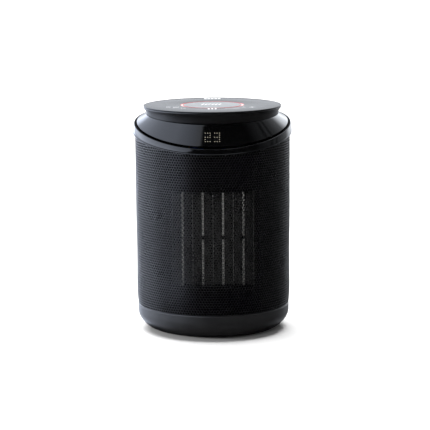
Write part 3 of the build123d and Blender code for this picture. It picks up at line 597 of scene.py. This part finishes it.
# The light ring is a channel: two upstanding edges with a lit floor between them.
ring_edge = PANEL_TOP - 0.05 * MM
ring_out, ring_in = groove_out - 0.05 * MM, groove_in + 0.05 * MM
ring_outline = [(ring_out, SHELF_Z), (ring_out, ring_edge), (ring_out - 0.35 * MM, ring_edge),
                (ring_out - 0.5 * MM, LAMP_Z), (ring_in + 0.5 * MM, LAMP_Z),
                (ring_in + 0.35 * MM, ring_edge), (ring_in, ring_edge), (ring_in, SHELF_Z)]
turned("light_ring_band", ring_outline, 360, "red_diffuser", "red_diffuser", replaces=("light_ring",))


# Printed marks stand a hair above the panel, as ink does.
INK_LOW = PANEL_TOP - 0.02 * MM
INK_TOP = PANEL_TOP + 0.05 * MM


def printed(name, strokes):
    """Flat marks, each a closed outline of (x, y) points in millimetres."""
    points, faces = [], []
    for line in strokes:
        start, count = len(points), len(line)
        points += [(x * MM, y * MM, z) for z in (INK_LOW, INK_TOP) for x, y in line]
        faces.append(range(start + count, start + 2 * count))
        faces.append(reversed(range(start, start + count)))
        for n in range(count):
            here, after = start + n, start + (n + 1) % count
            faces.append((here, after, after + count, here + count))
    piece(name, points, faces, "icon_print", "touch_glass")


def ribbon(path, width):
    """A stroke of even width along a path of (x, y) points."""
    left, right = [], []
    for n, here in enumerate(path):
        before, after = path[max(n - 1, 0)], path[min(n + 1, len(path) - 1)]
        dx, dy = after[0] - before[0], after[1] - before[1]
        size = hypot(dx, dy)
        nx, ny = -dy / size * width / 2, dx / size * width / 2
        left.append((here[0] + nx, here[1] + ny))
        right.append((here[0] - nx, here[1] - ny))
    return right + left[::-1]


def arc(x, y, radius, start, end, steps=20):
    """Points along an arc, angles in degrees."""
    angles = [radians(start + (end - start) * n / steps) for n in range(steps + 1)]
    return [(x + radius * cos(a), y + radius * sin(a)) for a in angles]


def power_mark(x, y, size):
    """An open ring with an upright stroke in its gap."""
    width = size * 0.28
    stroke = [(x, y + size * 0.25), (x, y + size * 1.35)]
    return [ribbon(arc(x, y, size, 125, 415), width), ribbon(stroke, width)]


def plus_mark(x, y, size):
    """Two crossed strokes."""
    width = size * 0.32
    return [ribbon([(x - size, y), (x + size, y)], width), ribbon([(x, y - size), (x, y + size)], width)]


def minus_mark(x, y, size):
    """One level stroke."""
    return [ribbon([(x - size, y), (x + size, y)], size * 0.34)]


def clock_mark(x, y, size):
    """A ring with two hands."""
    return [ribbon(arc(x, y, size, 0, 358, 32), size * 0.24),
            ribbon([(x, y + size * 0.6), (x, y), (x + size * 0.45, y)], size * 0.22)]


def wave_mark(x, y, size):
    """Three rising waves of warm air."""
    marks = []
    for shift in (-1, 0, 1):
        middle = x + shift * size * 0.62
        path = [(middle + 0.16 * size * sin(t / 12 * 2 * pi), y + size * (t / 6 - 1)) for t in range(13)]
        marks.append(ribbon(path, size * 0.2))
    return marks


def level_mark(x, y, size):
    """Three upright bars side by side."""
    xs = [x + n * size * 0.62 for n in (-1, 0, 1)]
    return [ribbon([(bar, y - size * 0.7), (bar, y + size * 0.7)], size * 0.3) for bar in xs]


# What each mark is drawn by, with its place and size in millimetres.
KEY_MARKS = {
    "key_mark_waves": (wave_mark, (-51.5, -25), 2.8),
    "key_mark_power": (power_mark, (-42.5, -26), 3.0),
    "key_mark_level": (level_mark, (0, -45), 6.5),
    "key_mark_minus": (minus_mark, (36, -31), 3.2),
    "key_mark_plus": (plus_mark, (46.5, -31.5), 3.2),
    "key_mark_clock": (clock_mark, (-33.5, -36), 2.4),
}


def add_marks():
    """Plain marks over the touch keys, and slanted bars on the badge, in front of it and behind it."""
    for name, (draw, (x, y), size) in KEY_MARKS.items():
        printed(name, draw(x, y, size))
    printed("badge_mark", [ribbon([(x - 1.5, 0), (x + 1.5, 10)], 1.5) for x in range(-11, 12, 4)])
    printed("panel_line", [ribbon([(15, -42.5), (24, -41), (32, -38.5)], 1.2)])
    printed("rear_mark", [ribbon([(4.2 * n, 63), (4.2 * n, 71)], 3.2) for n in (-2, -1, 0, 1, 2)])


add_marks()


# ---------------------------------------------------------------------------
# Display: the digits 2 and 3 in dots behind small windows
# ---------------------------------------------------------------------------
DIGITS = {-1: ("###", "  #", "###", "#  ", "###"), 1: ("###", "  #", "###", "  #", "###")}
DISPLAY_SHARE = 0.56      # how far down the collar the display sits
DOT_PITCH_X = 2.8 * MM
DOT_PITCH_Y = 2.55 * MM
DIGIT_X = 5.4 * MM
DOT_R = 0.46 * MM


def add_digits():
    """A low dome over each window, lit where the digit needs it."""
    head = Vector((0, -COLLAR_TOP_R, edge_height(COLLAR_TOP, -COLLAR_TOP_R)))
    edge = Vector((0, -COLLAR_LOW_R, collar_low(-COLLAR_LOW_R)))
    up = (head - edge).normalized()
    normal = Vector((1, 0, 0)).cross(up)
    middle = head.lerp(edge, DISPLAY_SHARE)
    for lit, name in ((True, "digit_dots_lit"), (False, "digit_dots_dark")):
        points, faces = [], []
        for side, rows in DIGITS.items():
            for row, line in enumerate(rows):
                for column, mark in enumerate(line):
                    if (mark == "#") == lit:
                        x = side * DIGIT_X + (column - 1) * DOT_PITCH_X
                        z = middle.z + up.z * (2 - row) * DOT_PITCH_Y
                        add_dome(points, faces, on_collar(x, z), up, normal)
        look = "digit_light" if lit else "digit_off"
        piece(name, points, faces, look, "lamp_diffuser", replaces=("display_dots",) if lit else ())


def on_collar(x, z):
    """The point of the collar's front skin at this x and height, found by halving."""
    high, low = 0.0, 1.0
    for _ in range(40):
        share = (high + low) / 2
        r = COLLAR_TOP_R + (COLLAR_LOW_R - COLLAR_TOP_R) * share
        turn = -sqrt(1 - (x / r) ** 2)
        upper, lower = edge_height(COLLAR_TOP, COLLAR_TOP_R * turn), collar_low(COLLAR_LOW_R * turn)
        skin_z = upper * (1 - share) + lower * share
        if skin_z > z:
            high = share
        else:
            low = share
    return Vector((x, r * turn, z))


# Rings of a window's dome: share of its radius, and height over the skin in millimetres.
DOME_RINGS = ((1.0, -0.25), (1.0, 0.02), (0.8, 0.08), (0.4, 0.12))


def add_dome(points, faces, centre, up, normal, steps=14):
    """Adds one window's low dome to the lists of points and faces."""
    across = Vector((1, 0, 0))
    start = len(points)
    for share, height in DOME_RINGS:
        for n in range(steps):
            a = 2 * pi * n / steps
            points.append(centre + (across * cos(a) + up * sin(a)) * DOT_R * share + normal * height * MM)
    last = len(DOME_RINGS) - 1
    for ring in range(last):
        for n in range(steps):
            a, b = start + ring * steps + n, start + ring * steps + (n + 1) % steps
            faces.append((a, b, b + steps, a + steps))
    faces.append(range(start + last * steps, start + (last + 1) * steps))
    faces.append(reversed(range(start, start + steps)))


add_digits()


# ---------------------------------------------------------------------------
# Heating element: folded fins, and clips across the gaps of the strips
# ---------------------------------------------------------------------------
STRIP_COUNT = 4
STRIP_W = 2.6 * MM
PLATE_W = 1.0 * MM
FOIL_W = 1.6 * MM         # width of the folded line, thicker than real foil
FOLD_RISE = 1.6 * MM
FIN_CLIMB = 3.6 * MM      # how much higher a fold's back end is than its front end
CLIP_W = 4.0 * MM
CLIP_H = 3.8 * MM
CLIP_BACK = 0.02 * MM     # gap between a clip and the strip behind it
CLIP_FRONT = 0.9 * MM     # how far a clip stands out in front of the strips


def strip_pitch():
    """Distance from one strip to the next."""
    low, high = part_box("ptc_strips")
    return (high.x - low.x - STRIP_W) / (STRIP_COUNT - 1)


def round_box(x, z, half_w, half_h, radius):
    """A rectangle with rounded corners round a middle."""
    left, right, low, high = x - half_w, x + half_w, z - half_h, z + half_h
    return rounded([(left, low), (right, low), (right, high), (left, high)], radius)


def add_clips():
    """Short dark clips that hold the two halves of a strip, seen as breaks half way up."""
    low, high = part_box("ptc_strips")
    middle = (low.z + high.z) / 2
    pitch = strip_pitch()
    points, faces = [], []
    for n in range(1, STRIP_COUNT):
        x = low.x + STRIP_W / 2 + n * pitch
        start = len(points)
        outline = round_box(x, middle, CLIP_W / 2, CLIP_H / 2, 0.5 * MM)
        count = len(outline)
        for y in (low.y - CLIP_FRONT, low.y - CLIP_BACK):
            points += [(a, y, b) for a, b in outline]
        faces.append(tuple(range(start, start + count)))
        faces.append(tuple(reversed(range(start + count, start + 2 * count))))
        for k in range(count):
            here, after = start + k, start + (k + 1) % count
            faces.append((here, here + count, after + count, after))
    piece("element_clips", points, faces, "inner_black", "inner_black")


def add_fins():
    """Folded fins between strips and plates. They climb to the back, so no light shows between folds."""
    low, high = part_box("heater_fins")
    strips_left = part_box("ptc_strips")[0].x
    pitch = strip_pitch()
    fin_w = (pitch - STRIP_W - PLATE_W) / 2
    half = (fin_w - FOIL_W) / 2
    folds = int((high.z - low.z - FIN_CLIMB) / FOLD_RISE)
    points, faces = [], []
    for strip in range(STRIP_COUNT):
        for side in (-1, 1):
            x = strips_left + STRIP_W / 2 + strip * pitch + side * (STRIP_W + fin_w) / 2
            start = len(points)
            for n in range(folds + 1):
                z = low.z + n * FOLD_RISE
                edge = x + half * (-1) ** n
                left, right = edge - FOIL_W / 2, edge + FOIL_W / 2
                points += [(left, low.y, z), (right, low.y, z)]
                points += [(right, high.y, z + FIN_CLIMB), (left, high.y, z + FIN_CLIMB)]
            last = start + 4 * folds
            faces += [(start, start + 1, start + 2, start + 3), (last + 3, last + 2, last + 1, last)]
            for a in range(start, last, 4):
                faces += [(a + k, a + 4 + k, a + 4 + (k + 1) % 4, a + (k + 1) % 4) for k in range(4)]
    # The folds take the darkened foil, painted shade of the channels.
    piece("heater_fin_folds", points, faces, "fin_foil_painted_shade", "element_aluminium", replaces=("heater_fins",))


add_clips()
add_fins()


# ---------------------------------------------------------------------------
# Floor and light
# ---------------------------------------------------------------------------
FLOOR_HALF = 40           # metres to each side
# Size and height of the black card that paints the floor's shadow into reflections.
SHADOW_CARD_R = 0.088
SHADOW_CARD_Z = 0.2 * MM


def add_floor():
    """White paper under the heater."""
    mesh = bpy.data.meshes.new("floor")
    corners = [(-FLOOR_HALF, -FLOOR_HALF), (FLOOR_HALF, -FLOOR_HALF), (FLOOR_HALF, FLOOR_HALF),
               (-FLOOR_HALF, FLOOR_HALF)]
    mesh.from_pydata([(x, y, 0) for x, y in corners], [], [(0, 1, 2, 3)])
    material = principled("floor_paper", (0.93, 0.93, 0.93), 0.9, ior=1.2)
    mesh.materials.append(material)
    floor = bpy.data.objects.new("floor", mesh)
    bpy.context.scene.collection.objects.link(floor)
    # The room's dark side, not the paper, is what the gloss picks up.
    floor.visible_glossy = False


def add_painted_shadow_card(steps=48):
    """A black card round the foot, seen in reflections only: a painted shadow, where the base sees the
    shaded floor under it.
    """
    mesh = bpy.data.meshes.new("shadow_card")
    turns = [2 * pi * n / steps for n in range(steps)]
    ring = [(SHADOW_CARD_R * cos(a), SHADOW_CARD_R * sin(a), SHADOW_CARD_Z) for a in turns]
    mesh.from_pydata(ring, [], [tuple(range(steps))])
    # Pure black: the painted shadow of the floor round the base.
    mesh.materials.append(principled("painted_shadow_cloth", (0, 0, 0), 1.0, ior=1.0))
    shadow_card = bpy.data.objects.new("shadow_card", mesh)
    bpy.context.scene.collection.objects.link(shadow_card)
    shadow_card.visible_camera = shadow_card.visible_diffuse = shadow_card.visible_shadow = shadow_card.visible_transmission = False


def add_area(name, place, target, size, power):
    """A rectangular lamp turned to a target. Neither the camera nor the gloss sees it."""
    data = bpy.data.lights.new(name, "AREA")
    data.shape = "RECTANGLE"
    data.size, data.size_y = size
    data.energy = power
    light = bpy.data.objects.new(name, data)
    light.location = place
    light.rotation_euler = (Vector(target) - Vector(place)).to_track_quat("-Z", "Y").to_euler()
    light.visible_camera = light.visible_glossy = False
    bpy.context.scene.collection.objects.link(light)


def add_sun(name, towards, strength, spread):
    """Even light from one side of the sky; spread is its width in degrees."""
    data = bpy.data.lights.new(name, "SUN")
    data.energy = strength
    data.angle = radians(spread)
    light = bpy.data.objects.new(name, data)
    light.rotation_euler = (-Vector(towards)).to_track_quat("-Z", "Y").to_euler()
    light.visible_glossy = False
    bpy.context.scene.collection.objects.link(light)


ROOM_LIGHT = 0.16         # what the room adds to all the matt surfaces
SHINE_FLOOR = 0.004       # the least light from any direction
LEFT_TINT, WALL_TINT = (0.85, 0.93, 1.11), (0.9, 0.94, 1.0)
SOFT_BOX_EDGE, SOFT_BOX_LEAN = -39.5, 30      # bearing of its front edge, and how that moves with height
SOFT_BOX_MIDDLE = -95
STAND_LEGS = ((93, 4.0), (104, 2.5))          # bearing and width of the dark legs on the right


def add_world():
    """An even white room for matt surfaces, and light and dark parts of it for the gloss to reflect."""
    world = bpy.data.worlds.new("studio")
    bpy.context.scene.world = world
    world.use_nodes = True
    tree = world.node_tree
    tree.nodes.clear()
    place = tree.nodes.new("ShaderNodeTexCoord").outputs["Generated"]
    split = tree.nodes.new("ShaderNodeSeparateXYZ")
    tree.links.new(place, split.inputs["Vector"])
    height = split.outputs["Z"]

    def math(operation, a, b=0.0, c=0.0):
        """One step of arithmetic on numbers or sockets."""
        node = tree.nodes.new("ShaderNodeMath")
        node.operation = operation
        for socket, value in zip(node.inputs, (a, b, c)):
            if isinstance(value, (int, float)):
                socket.default_value = value
            else:
                tree.links.new(value, socket)
        return node.outputs[0]

    def ramp(value, low, high, start, end):
        """From low to high while the value goes from start to end."""
        return remap(tree, value, low, high, start, end)

    def dimmed(light, *shares):
        """A light multiplied by each of its shares in turn."""
        for share in shares:
            light = math("MULTIPLY", light, share)
        return light

    # Bearing of a direction from straight ahead, in degrees, positive to the right.
    bearing = math("ARCTAN2", split.outputs["X"], math("MULTIPLY", split.outputs["Y"], -1))
    bearing = math("MULTIPLY", bearing, 180 / pi)
    # The soft box on the left leans over the heater, so its edge comes forward with height.
    edge = math("MULTIPLY_ADD", height, SOFT_BOX_LEAN, SOFT_BOX_EDGE)
    soft_box = ramp(math("SUBTRACT", bearing, edge), 1, 0, -2, 2)
    off_middle = math("ABSOLUTE", math("ADD", bearing, -SOFT_BOX_MIDDLE))
    soft_box = dimmed(soft_box, ramp(off_middle, 2.2, 1.05, 30, 72), ramp(height, 1.8, 1.0, 0.0, 0.45),
                      ramp(bearing, 0, 1, -173, -162))
    # Its foot fades out, higher up towards the front.
    foot = math("MAXIMUM", ramp(bearing, 0.62, 0.15, -100, -84), ramp(height, 0, 1, -0.13, -0.03))
    soft_box = dimmed(soft_box, foot, ramp(height, 0.55, 1, -0.21, -0.13))
    # The wall behind is brightest where the lamps graze it, to the left and right of straight back.
    grazed = ramp(math("ABSOLUTE", bearing), 3.2, 0.86, 164, 174)
    left_wall = dimmed(grazed, ramp(bearing, 0, 1, -135, -155))
    right_wall = dimmed(grazed, ramp(bearing, 0, 1, 128, 146))
    # Past the wall a dim room shows, with the dark legs of the stands.
    room = math("ADD", ramp(bearing, 0, 0.32, 62, 104), ramp(bearing, 0, 0.4, 112, 130))
    for leg, width in STAND_LEGS:
        off_leg = math("ABSOLUTE", math("SUBTRACT", bearing, leg))
        room = dimmed(room, ramp(off_leg, 0.3, 1, width / 2, width / 2 + 2))
    right_side = dimmed(math("MAXIMUM", right_wall, room), ramp(height, 0.2, 1, -0.14, 0.0))
    # Nothing shines from steeply below, and a light ceiling does from straight above.
    shine = math("MAXIMUM", soft_box, math("MAXIMUM", left_wall, right_side))
    shine = dimmed(shine, ramp(height, 0, 1, -0.9, -0.5))
    shine = math("ADD", math("MAXIMUM", shine, ramp(height, 0, 1.3, 0.9, 0.96)), SHINE_FLOOR)

    # The lamps on the left are the coolest.
    reflected = tree.nodes.new("ShaderNodeBackground")
    tint = mixed(tree, ramp(off_middle, 0, 1, 60, 85), LEFT_TINT, WALL_TINT)
    tree.links.new(tint, reflected.inputs["Color"])
    tree.links.new(shine, reflected.inputs["Strength"])
    seen = tree.nodes.new("ShaderNodeBackground")
    seen.inputs["Color"].default_value = (1, 1, 1, 1)
    seen.inputs["Strength"].default_value = ROOM_LIGHT
    path = tree.nodes.new("ShaderNodeLightPath")
    mix = tree.nodes.new("ShaderNodeMixShader")
    tree.links.new(path.outputs["Is Glossy Ray"], mix.inputs["Fac"])
    tree.links.new(seen.outputs["Background"], mix.inputs[1])
    tree.links.new(reflected.outputs["Background"], mix.inputs[2])
    output = tree.nodes.new("ShaderNodeOutputWorld")
    tree.links.new(mix.outputs["Shader"], output.inputs["Surface"])


bpy.context.scene.view_settings.view_transform = "Standard"
add_floor()
add_painted_shadow_card()
add_world()
add_sun("overhead", (-0.12, 0.27, 1), 5.9, 68)
add_area("left_kicker", (-0.42, -0.16, 0.07), (-0.07, -0.03, 0), (0.12, 0.05), 1.4)
add_area("front_fill", (-0.5, -2.6, 0.9), (0, 0, 0.15), (0.8, 0.8), 12)
